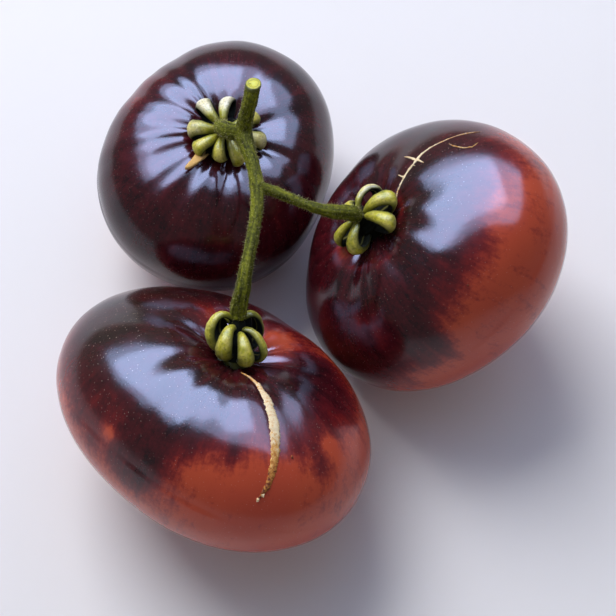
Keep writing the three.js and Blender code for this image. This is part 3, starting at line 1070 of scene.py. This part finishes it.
class TRUSS_OT_calyces(bpy.types.Operator):
    """Make the three calyces"""

    bl_idname = "truss.calyces"
    bl_label = "Make Calyces"

    PROBE_SEGMENTS = 120
    PROBE_RINGS = 80
    SINK_SHARE = 0.15  # keeps what was deepest a little lower, so that it doesn't fold
    TWIST = 14.0  # the most that a sepal twists, in degrees
    # Shares of a sepal's half-width, and for the ridge of its half-thickness.
    WAVE = 0.1
    CUP = 0.22
    RIDGE = 0.3

    def execute(self, context):
        material = sepal_material(context.scene.truss_green)
        for name, fruit in FRUIT.items():
            self.make_calyx(name, fruit, material)
        return {"FINISHED"}

    def make_calyx(self, name, fruit, material):
        """One calyx: its neck, its curled sepals and any spread one."""
        calyx = CALYCES[name]
        green = bmesh.new()
        layers = {
            key: green.verts.layers.float.new(key)
            for key in ("share", "across", "inner", "dried", "pale")
        }
        along = Vector(calyx["lean"]).normalized()
        self.add_neck(green, layers, fruit, calyx["height"], along)
        for turn, sweep, reach, top, width in calyx["sepals"]:
            line = [
                (out * reach, SEPAL_LOW + up * (top - SEPAL_LOW)) for out, up in SEPAL_LINE
            ]
            shape = (turn, sweep, width * calyx["fullness"])
            # pale sets how strongly a painted near-white highlight covers this sepal's top.
            tints = {"dried": 0.0, "pale": calyx["pale"].get(turn, 0.0)}
            self.add_sepal(green, layers, fruit, along, line, shape, tints)
        spread = calyx.get("spread")
        if spread:
            shape = (spread["turn"], 0, spread["width"])
            tints = {"dried": 1.0, "pale": 0.0}
            self.add_sepal(green, layers, fruit, along, spread["line"], shape, tints)
        self.lift_off_skin(green, fruit)
        bumpy(green, amount=0.12, size=1.3, seed=len(calyx["sepals"]))
        bmesh.ops.recalc_face_normals(green, faces=green.faces)
        finish_piece(green, f"sepals_{name}", material, "calyx_green", [f"calyx_{name}"])

    @staticmethod
    def add_neck(green, layers, fruit, height, along):
        """The ringed neck between the knuckle and the disc that the sepals grow from, swelling into
        a dark cone painted with shade that fills the calyx's shadowed middle.
        """
        scar = fruit.scar()
        across = along.orthogonal().normalized()
        over = along.cross(across)
        outline = [
            (-NECK_BELOW, BASE_RADIUS),
            (0.6, BASE_RADIUS),
            (height * 0.45, FOOT_RADIUS),
            (height * 0.78, NECK_RADIUS),
            (height + 0.6, NECK_TOP_RADIUS),
        ]

        def place_ring(share):
            level = -NECK_BELOW + share * (NECK_BELOW + height + NECK_ABOVE)
            radius = eased_through(outline, level)

            def move(x, y):
                ribs = 0.05 * math.cos(5 * math.atan2(y, x))
                rings = 0.05 * math.cos(7.0 * level)
                out = (across * x + over * y) * radius * (1.0 + ribs + rings)
                return scar + along * level + out

            return move

        for vert, share, _, _ in add_tube(green, NECK_SIDES, NECK_STEPS, place_ring):
            # The neck is painted with shade: root shade along its length and, above its lowest
            # fifth, the inner sides' shade.
            vert[layers["share"]] = 0.1
            vert[layers["across"]] = 0.9
            vert[layers["inner"]] = smooth_step(0.1, 0.2, share)

    def add_sepal(self, green, layers, fruit, along, line, shape, tints):
        """A fleshy sepal along a line, cupped and ridged on its inner side."""
        turn, sweep, width = shape
        scar = fruit.scar()
        last = len(line) - 1
        curve = Curve(
            [
                scar + fruit.side(turn + sweep * i / last) * distance + along * height
                for i, (distance, height) in enumerate(line)
            ]
        )
        half_thickness = SEPAL_THICKNESS / 2
        bend = self.TWIST * math.sin(2.3 * turn)

        def place_ring(share):
            point, tangent, _ = curve.at(share)
            outward = fruit.side(turn + sweep * share)
            across = along.cross(outward).normalized()
            over = tangent.cross(across).normalized()
            half = sepal_half_width(width, share)
            thick = half_thickness * (1.15 - 0.45 * share)
            twist = math.radians(bend * math.sin(math.pi * share))
            wave = self.WAVE * half * math.sin(9.0 * share + bend)

            def move(x, y):
                side = math.copysign(abs(x) ** 0.8, x) * half + wave
                cup = self.CUP * half * x * x
                ridge = self.RIDGE * thick * (1.0 - abs(x)) if y < 0 else 0.0
                rise = y * thick + cup - ridge
                flat = side * math.cos(twist) - rise * math.sin(twist)
                tall = side * math.sin(twist) + rise * math.cos(twist)
                return point + across * flat + over * tall

            return move

        for vert, share, x, y in add_tube(green, SEPAL_SIDES, SEPAL_STEPS, place_ring):
            vert[layers["share"]] = share
            vert[layers["across"]] = abs(x)
            vert[layers["inner"]] = 0.5 + 0.5 * y
            vert[layers["dried"]] = tints["dried"] * smooth_step(0.35, 0.75, share)
            vert[layers["pale"]] = tints["pale"]

    def lift_off_skin(self, green, fruit):
        """Moves whatever is under the skin out to just above it."""
        skin = bmesh.new()
        bmesh.ops.create_uvsphere(
            skin, u_segments=self.PROBE_SEGMENTS, v_segments=self.PROBE_RINGS, radius=1.0
        )
        for vert in skin.verts:
            down = math.atan2(math.hypot(vert.co.x, vert.co.y), vert.co.z)
            vert.co = fruit.place(fruit.skin(down, math.atan2(vert.co.y, vert.co.x)))
        tree = BVHTree.FromBMesh(skin)
        skin.free()
        for vert in green.verts:
            ray = vert.co - fruit.middle
            outward = ray.normalized()
            place, _, _, distance = tree.ray_cast(fruit.middle, outward)
            sunk = distance + SKIN_CLEARANCE - ray.length if place else 0.0
            if sunk > 0.0:
                vert.co += outward * sunk * (1.0 - self.SINK_SHARE * min(1.0, sunk))


class TRUSS_OT_stem(bpy.types.Operator):
    """Make the forked truss stem with its cut end"""

    bl_idname = "truss.stem"
    bl_label = "Make Stem"

    SIDES = 20
    RING_STEP = 0.6
    FORK_RADIUS = 2.05
    VOXEL = 0.24
    SMOOTHINGS = 6
    SAMPLE_STEP = 0.5
    LIMB_OFFSET = 90.0  # sets the limbs' streaks apart
    RIBS = 6
    RIB_RISE = 0.05
    RIB_TWIST = 0.12  # radians per mm of the stem
    KNOBS = ((2.2, 0.16), (0.8, 0.09))  # size and height
    CUT_RADIUS = 1.98
    # Share of the way from the cut end's underside to its middle: radius, and height.
    CUT_OUTLINE = [(0.0, CUT_RADIUS), (0.35, CUT_RADIUS), (0.6, 1.9), (0.8, 1.4), (1.0, 0.02)]
    CUT_RISES = [(0.0, -0.7), (0.35, 0.0), (0.6, 0.2), (0.8, 0.22), (1.0, 0.14)]
    CUT_SIDES = 40
    CUT_STEPS = 20

    def execute(self, context):
        limbs = [MAIN_STEM] + [self.pedicel(name) for name in ("back", "right", "front")]
        raw = bmesh.new()
        curves = [self.add_limb(raw, limb) for limb in limbs]
        ball = bmesh.ops.create_icosphere(raw, subdivisions=3, radius=self.FORK_RADIUS)
        bmesh.ops.translate(raw, vec=Vector(FORK), verts=ball["verts"])
        self.cut_top(raw)
        skin = self.one_skin(context, raw)
        for _ in range(self.SMOOTHINGS):
            bmesh.ops.smooth_vert(
                skin,
                verts=skin.verts,
                factor=0.5,
                use_axis_x=True,
                use_axis_y=True,
                use_axis_z=True,
            )
        self.shape(skin, curves)
        material = stem_material(context.scene.truss_green)
        finish_piece(skin, "stem", material, "stem_green", ["truss_stem"])
        self.make_cut_end(context)
        return {"FINISHED"}

    @staticmethod
    def cut_top(raw):
        """Cuts the main stem's top off slantwise and closes the cut."""
        parts = [*raw.verts, *raw.edges, *raw.faces]
        bmesh.ops.bisect_plane(
            raw, geom=parts, plane_co=CUT_PLACE, plane_no=CUT_DIRECTION, clear_outer=True
        )
        rim = [edge for edge in raw.edges if edge.is_boundary]
        bmesh.ops.edgeloop_fill(raw, edges=rim)

    @staticmethod
    def pedicel(name):
        """A limb that ends in a knuckle on the neck of its calyx."""
        fruit = FRUIT[name]
        along = Vector(CALYCES[name]["lean"]).normalized()
        top = fruit.scar() + along * CALYCES[name]["height"]
        return LIMBS[name] + [(*(top + along * over), radius) for over, radius in KNUCKLE_RINGS]

    @staticmethod
    def frames(curve, steps):
        """(point, across, over) at even steps along a curve, without a twist."""
        across = curve.at(0.0)[1].orthogonal().normalized()
        for step in range(steps + 1):
            point, tangent, _ = curve.at(step / steps)
            across = (across - tangent * across.dot(tangent)).normalized()
            yield point, across, tangent.cross(across)

    def add_limb(self, raw, limb):
        """A round limb through its points. Returns its curve."""
        curve = Curve([point[:3] for point in limb])
        steps = round(curve.length / self.RING_STEP)
        frames = list(self.frames(curve, steps))
        radii = [(index, point[3]) for index, point in enumerate(limb)]

        def place_ring(share):
            point, across, over = frames[round(share * steps)]
            radius = eased_through(radii, curve.at(share)[2])
            return lambda x, y: point + (across * x + over * y) * radius

        add_tube(raw, self.SIDES, steps, place_ring)
        return curve

    def one_skin(self, context, raw):
        """The overlapping limbs remeshed into one smooth skin."""
        bmesh.ops.recalc_face_normals(raw, faces=raw.faces)
        mesh = bpy.data.meshes.new("stem_raw")
        raw.to_mesh(mesh)
        raw.free()
        temporary = bpy.data.objects.new("stem_raw", mesh)
        context.scene.collection.objects.link(temporary)
        remesh = temporary.modifiers.new("Remesh", "REMESH")
        remesh.mode = "VOXEL"
        remesh.voxel_size = self.VOXEL
        context.view_layer.update()
        skin = bmesh.new()
        skin.from_object(temporary, context.evaluated_depsgraph_get())
        bpy.data.objects.remove(temporary)
        bpy.data.meshes.remove(mesh)
        return skin

    def shape(self, skin, curves):
        """Gives the skin low lengthwise ribs and a lengthwise coordinate for its streaks."""
        samples = []
        for index, curve in enumerate(curves):
            steps = round(curve.length / self.SAMPLE_STEP)
            for step, frame_at in enumerate(self.frames(curve, steps)):
                samples.append((*frame_at, step * self.SAMPLE_STEP + index * self.LIMB_OFFSET))
        near = KDTree(len(samples))
        for index, sample in enumerate(samples):
            near.insert(sample[0], index)
        near.balance()
        lengthwise = skin.verts.layers.float_vector.new("lengthwise")
        skin.normal_update()
        for vert in skin.verts:
            _, index, _ = near.find(vert.co)
            point, across, over, along = samples[index]
            offset = vert.co - point
            x = offset.dot(across)
            y = offset.dot(over)
            vert[lengthwise] = (x, y, along)
            phase = self.RIBS * math.atan2(y, x) + self.RIB_TWIST * along
            rib = self.RIB_RISE * math.cos(phase)
            knob = sum(noise.noise(vert.co / size) * rise for size, rise in self.KNOBS)
            vert.co += vert.normal * (rib + knob)

    def make_cut_end(self, context):
        """A slightly crowned disc over the stem's cut top end."""
        end = bmesh.new()
        ring = end.verts.layers.float.new("ring")
        limb_up = -Curve([point[:3] for point in MAIN_STEM]).at(0.0)[1]
        across = limb_up.orthogonal().normalized()
        over = limb_up.cross(across)

        def place_ring(share):
            radius = eased_through(self.CUT_OUTLINE, share)
            rise = eased_through(self.CUT_RISES, share)

            def move(x, y):
                out = (across * x + over * y) * radius
                slant = -out.dot(CUT_DIRECTION) / limb_up.dot(CUT_DIRECTION)
                return CUT_PLACE + out + limb_up * (slant + rise)

            return move

        for vert, share, _, _ in add_tube(end, self.CUT_SIDES, self.CUT_STEPS, place_ring):
            radius = eased_through(self.CUT_OUTLINE, share)
            vert[ring] = radius / self.CUT_RADIUS if share > 0.5 else 1.0
        bumpy(end, amount=0.1, size=0.9, seed=5)
        bmesh.ops.recalc_face_normals(end, faces=end.faces)
        material = cut_material(context.scene.truss_green)
        finish_piece(end, "cut_end", material, "stem_green")


class TRUSS_OT_hairs(bpy.types.Operator):
    """Grow fine hairs on the stem"""

    bl_idname = "truss.hairs"
    bl_label = "Grow Hairs"

    SEED = 31
    ROOT_SHARE = 0.2  # a hair's root, as a share of the face it grows from
    ROOT_DEPTH = 0.04
    LEAN = 0.14
    LENGTHS = (0.5, 1.5)  # shortest and longest, as shares of the usual length

    def execute(self, context):
        settings = context.scene.truss_green
        draw = random.Random(self.SEED)
        hairs = bmesh.new()
        hairs.from_mesh(bpy.data.objects["stem"].data)
        bmesh.ops.scale(hairs, vec=(1 / MM, 1 / MM, 1 / MM), verts=hairs.verts)
        chosen = set(draw.sample(range(len(hairs.faces)), settings.hair_count))
        bare = [face for face in hairs.faces if face.index not in chosen]
        bmesh.ops.delete(hairs, geom=bare, context="FACES")
        bmesh.ops.split_edges(hairs, edges=hairs.edges)
        roots = {face: face.calc_center_median() for face in hairs.faces}
        for face, centre in roots.items():
            root = centre - face.normal * self.ROOT_DEPTH
            for vert in face.verts:
                vert.co = root + (vert.co - centre) * self.ROOT_SHARE
        hairs.normal_update()
        length = settings.hair_length / MM
        for tip in bmesh.ops.poke(hairs, faces=hairs.faces, offset=length)["verts"]:
            foot = [edge.other_vert(tip).co for edge in tip.link_edges]
            root = sum(foot, Vector()) / len(foot)
            lean = Vector([draw.gauss(0.0, self.LEAN) for _ in range(3)])
            tip.co = root + (tip.co - root) * draw.uniform(*self.LENGTHS) + lean
        finish_piece(hairs, "stem_hairs", hair_material(settings), "stem_green")
        return {"FINISHED"}


class TRUSS_OT_scars(bpy.types.Operator):
    """Make the corky scars on the skins"""

    bl_idname = "truss.scars"
    bl_label = "Make Scars"

    STAR_SEGMENTS = 60
    STAR_CUTS = 7
    STAR_THICKNESS = 0.2
    # A blossom scar's reach in mm, and how its five arms and their edges vary it.
    STAR_REACH = 2.1
    STAR_ARMS = 0.7
    STAR_EDGES = 0.35

    def execute(self, context):
        material = cork_material(context.scene.truss_green)
        for name, scars in SCARS.items():
            self.make_zipper(name, scars, material)
        for name, fruit in FRUIT.items():
            self.make_blossom_scar(name, fruit, material)
        return {"FINISHED"}

    @staticmethod
    def make_zipper(name, scars, material):
        """The scars of one fruit's stem side."""
        scar = bmesh.new()
        old = scar.verts.layers.float.new("old")
        for seed, line in enumerate(scars["lines"]):
            add_scar(scar, old, FRUIT[name], line, scars["rise"], seed + SCAR_SEED)
        bumpy(scar, amount=0.12, size=0.5, seed=9)
        bmesh.ops.recalc_face_normals(scar, faces=scar.faces)
        finish_piece(scar, f"zipper_{name}", material, TRUSS_OT_fruits.SLOTS[name])

    def make_blossom_scar(self, name, fruit, material):
        """A small corky star with a nub at the fruit's far end."""
        star = bmesh.new()
        old = star.verts.layers.float.new("old")
        bmesh.ops.create_circle(
            star, cap_ends=True, cap_tris=True, segments=self.STAR_SEGMENTS, radius=1.0
        )
        spokes = [edge for edge in star.edges if not edge.is_boundary]
        bmesh.ops.subdivide_edges(star, edges=spokes, cuts=self.STAR_CUTS, use_grid_fill=True)
        for vert in star.verts:
            around = math.atan2(vert.co.y, vert.co.x)
            reach = min(1.0, math.hypot(vert.co.x, vert.co.y))
            arms = self.STAR_ARMS * math.cos(5 * around + 0.6)
            edges = self.STAR_EDGES * math.cos(11 * around)
            down = math.pi - reach * (self.STAR_REACH + arms + edges) / fruit.form["radius"]
            point = fruit.skin(down, around)
            swell = 0.3 * (1.0 - reach**3) + 0.5 * math.exp(-((reach / 0.22) ** 2)) - 0.06
            vert[old] = 0.3 + 0.6 * reach
            vert.co = fruit.place(point * ((point.length + swell) / point.length))
        bmesh.ops.recalc_face_normals(star, faces=star.faces)
        bumpy(star, amount=0.08, size=0.5, seed=4)
        bmesh.ops.solidify(star, geom=star.faces, thickness=self.STAR_THICKNESS)
        bmesh.ops.recalc_face_normals(star, faces=star.faces)
        slot = TRUSS_OT_fruits.SLOTS[name]
        finish_piece(star, f"blossom_scar_{name}", material, slot)


class TRUSS_OT_stage(bpy.types.Operator):
    """Set the camera, the plain floor and the soft window light"""

    bl_idname = "truss.stage"
    bl_label = "Set Stage"

    TARGET = Vector((-1.36, -8.44, 28.0)) * MM
    PHOTO_WIDTH = 616
    FOCAL_PIXELS = 1119
    SENSOR = 36.0
    FLOOR_SIZE = 6.0
    # Place and size in metres, and a glow's share of the power. The window lights the
    # scene, and its glow is what the glossy skins mirror.
    WINDOW = ((-0.46, 0.78, 1.1), (0.9, 0.8))
    GLOWS = (
        ("glow_wide", ((-0.02, 0.26, 0.56), (1.3, 0.74)), 0.62),
        ("glow_core", ((-0.1, 0.26, 0.56), (0.8, 0.5)), 0.38),
    )

    def execute(self, context):
        settings = context.scene.truss_stage
        self.add_camera(context, settings)
        self.add_floor(context, settings)
        self.add_lights(context, settings)
        context.scene.view_settings.view_transform = "Standard"
        return {"FINISHED"}

    def add_camera(self, context, settings):
        """A camera at the photograph's viewing angle."""
        data = bpy.data.cameras.new("camera")
        data.sensor_width = self.SENSOR
        data.lens = self.SENSOR * self.FOCAL_PIXELS / self.PHOTO_WIDTH
        data.clip_start = 0.01
        camera = bpy.data.objects.new("camera", data)
        context.scene.collection.objects.link(camera)
        back = Vector((0.0, -math.cos(settings.elevation), math.sin(settings.elevation)))
        camera.location = self.TARGET + back * settings.distance
        camera.rotation_euler = back.to_track_quat("Z", "Y").to_euler()
        context.scene.camera = camera

    def add_floor(self, context, settings):
        """A plain pale floor."""
        floor = bmesh.new()
        bmesh.ops.create_grid(floor, x_segments=8, y_segments=8, size=self.FLOOR_SIZE / 2)
        mesh = bpy.data.meshes.new("floor")
        floor.to_mesh(mesh)
        floor.free()
        material, tree, shader = new_material("pale_floor")
        shaded = (*[channel * 0.96 for channel in settings.floor[:3]], 1.0)
        colour = painted(tree, settings.floor, [(object_noise(tree, 6.0, 3.0), shaded)])
        set_inputs(tree, shader, {"Base Color": colour, "Roughness": 0.85})
        mesh.materials.append(material)
        piece = bpy.data.objects.new("floor", mesh)
        context.scene.collection.objects.link(piece)
        piece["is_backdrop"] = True

    def add_lights(self, context, settings):
        """Light from all round, the window, and its glow in the skins."""
        world = bpy.data.worlds.new("surround")
        world.use_nodes = True
        background = world.node_tree.nodes["Background"]
        background.inputs["Color"].default_value = settings.surround
        background.inputs["Strength"].default_value = settings.surround_strength
        context.scene.world = world
        window = self.add_window(
            context, "window", self.WINDOW, settings.window_power, settings.window_colour
        )
        window.visible_glossy = False
        for name, form, share in self.GLOWS:
            power = settings.glow_power * share
            glow = self.add_window(context, name, form, power, settings.glow_colour)
            glow.visible_diffuse = False

    def add_window(self, context, name, form, power, colour):
        """A soft rectangular light that faces the truss."""
        place, size = form
        data = bpy.data.lights.new(name, "AREA")
        data.shape = "RECTANGLE"
        data.size, data.size_y = size
        data.energy = power
        data.color = colour[:3]
        light = bpy.data.objects.new(name, data)
        light.location = place
        aim = self.TARGET - Vector(place)
        light.rotation_euler = aim.to_track_quat("-Z", "Y").to_euler()
        context.scene.collection.objects.link(light)
        return light


class TRUSS_PT_panel(bpy.types.Panel):
    """Lists the truss's steps and settings in the sidebar"""

    bl_idname = "TRUSS_PT_panel"
    bl_label = "Tomato Truss"
    bl_space_type = "VIEW_3D"
    bl_region_type = "UI"
    bl_category = "Tomato Truss"

    def draw(self, context):
        layout = self.layout
        for operator in STEPS:
            layout.operator(operator.bl_idname)
        for group in ("truss_skin", "truss_green", "truss_stage"):
            settings = getattr(context.scene, group)
            box = layout.box()
            for name in settings.__annotations__:
                box.prop(settings, name)


STEPS = (
    TRUSS_OT_fruits,
    TRUSS_OT_calyces,
    TRUSS_OT_stem,
    TRUSS_OT_hairs,
    TRUSS_OT_scars,
    TRUSS_OT_stage,
)
SETTINGS = {
    "truss_skin": TrussSkinSettings,
    "truss_green": TrussGreenSettings,
    "truss_stage": TrussStageSettings,
}


def register():
    for name, group in SETTINGS.items():
        bpy.utils.register_class(group)
        setattr(bpy.types.Scene, name, PointerProperty(type=group))
    for operator in STEPS:
        bpy.utils.register_class(operator)
    bpy.utils.register_class(TRUSS_PT_panel)


def unregister():
    bpy.utils.unregister_class(TRUSS_PT_panel)
    for operator in reversed(STEPS):
        bpy.utils.unregister_class(operator)
    for name, group in SETTINGS.items():
        delattr(bpy.types.Scene, name)
        bpy.utils.unregister_class(group)


def main():
    register()
    for operator in STEPS:
        family, step = operator.bl_idname.split(".")
        getattr(getattr(bpy.ops, family), step)()
    boxes = {"cad": cad_box, "visual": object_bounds()}
    {name: [list(corner) for corner in box] for name, box in boxes.items()}


if __name__ == "__main__":
    main()
